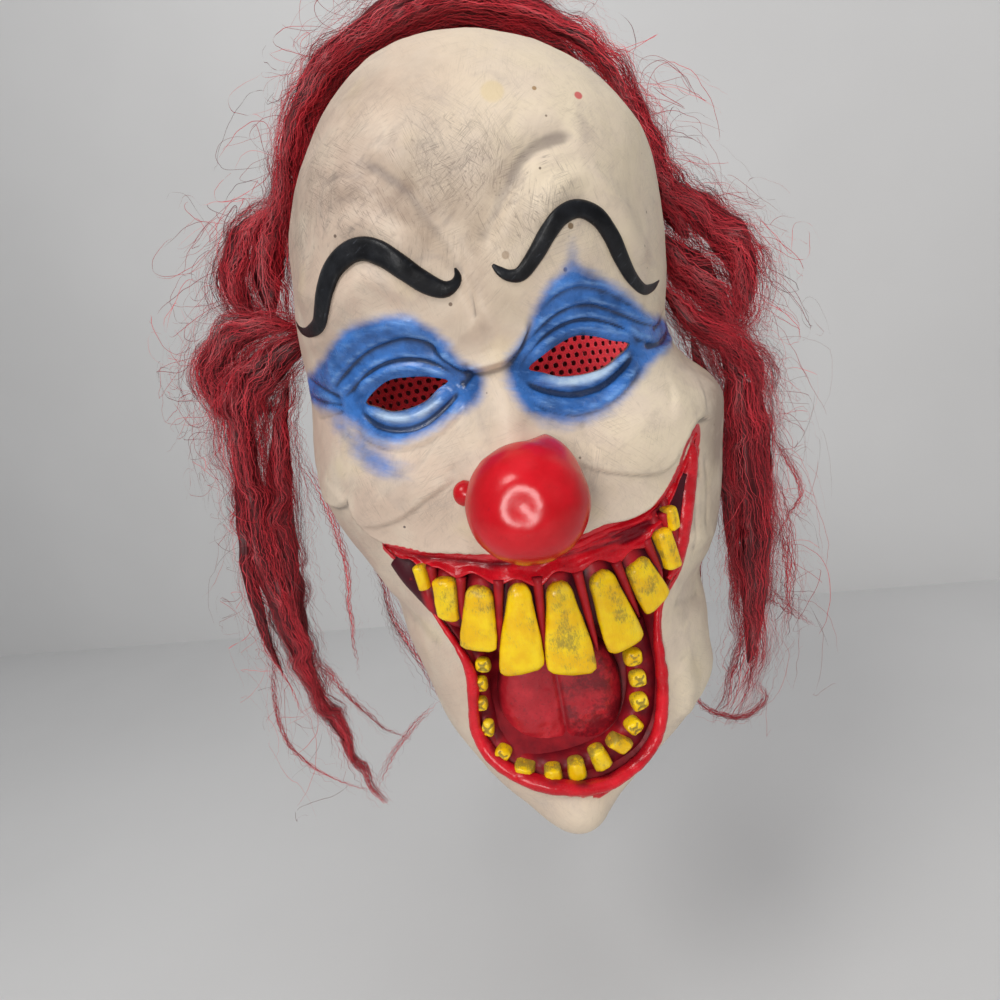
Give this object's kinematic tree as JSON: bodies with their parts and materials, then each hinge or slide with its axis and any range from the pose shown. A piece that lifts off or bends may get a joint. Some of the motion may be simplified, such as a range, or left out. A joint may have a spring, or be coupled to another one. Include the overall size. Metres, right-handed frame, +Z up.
{
  "type": "clown mask",
  "caption": "Pull-on clown mask with a cast face, ball nose, raised brows, wide open toothy grin and long crimped hair on a mesh cap.",
  "frame": {"origin": "where the inside of the cap rests on the crown of the head", "axes": "+Z up, the face looks along -Y, +X is to the right as the face is seen from the front"},
  "size_m": [0.3266, 0.2488, 0.4312],
  "materials": {
    "painted_latex": "matt off-white painted latex with grey dry-brushed creases and blue around the eyes",
    "red_mesh": "red net with round holes",
    "black_paint": "satin black painted latex",
    "red_gloss_paint": "glossy red paint over latex",
    "red_lip_paint": "glossy red paint, darker in the folds",
    "gum_paint": "glossy dark maroon paint",
    "tongue_paint": "glossy red paint with dark speckles",
    "tooth_paint": "glossy yellow paint with dark dry-brushing",
    "crimped_hair": "dark red crimped synthetic hair"
  },
  "bodies": {
    "root": {"face": "painted_latex", "mesh_cap": "red_mesh", "brow_left": "black_paint", "brow_right": "black_paint", "nose": "red_gloss_paint", "upper_lip": "red_lip_paint", "lower_lip": "red_lip_paint", "mouth_lining": "gum_paint", "upper_gum": "gum_paint", "lower_gum": "gum_paint", "tongue": "tongue_paint", "upper_tooth_1": "tooth_paint", "upper_tooth_2": "tooth_paint", "upper_tooth_3": "tooth_paint", "upper_tooth_4": "tooth_paint", "upper_tooth_5": "tooth_paint", "upper_tooth_6": "tooth_paint", "upper_tooth_7": "tooth_paint", "upper_tooth_8": "tooth_paint", "upper_tooth_9": "tooth_paint", "lower_tooth_1": "tooth_paint", "lower_tooth_2": "tooth_paint", "lower_tooth_3": "tooth_paint", "lower_tooth_4": "tooth_paint", "lower_tooth_5": "tooth_paint", "lower_tooth_6": "tooth_paint", "lower_tooth_7": "tooth_paint", "lower_tooth_8": "tooth_paint", "lower_tooth_9": "tooth_paint", "lower_tooth_10": "tooth_paint", "lower_tooth_11": "tooth_paint", "lower_tooth_12": "tooth_paint", "lower_tooth_13": "tooth_paint", "lower_tooth_14": "tooth_paint", "hair_top": "crimped_hair", "hair_left": "crimped_hair", "hair_right": "crimped_hair", "hair_back": "crimped_hair"}
  },
  "joints": []
}
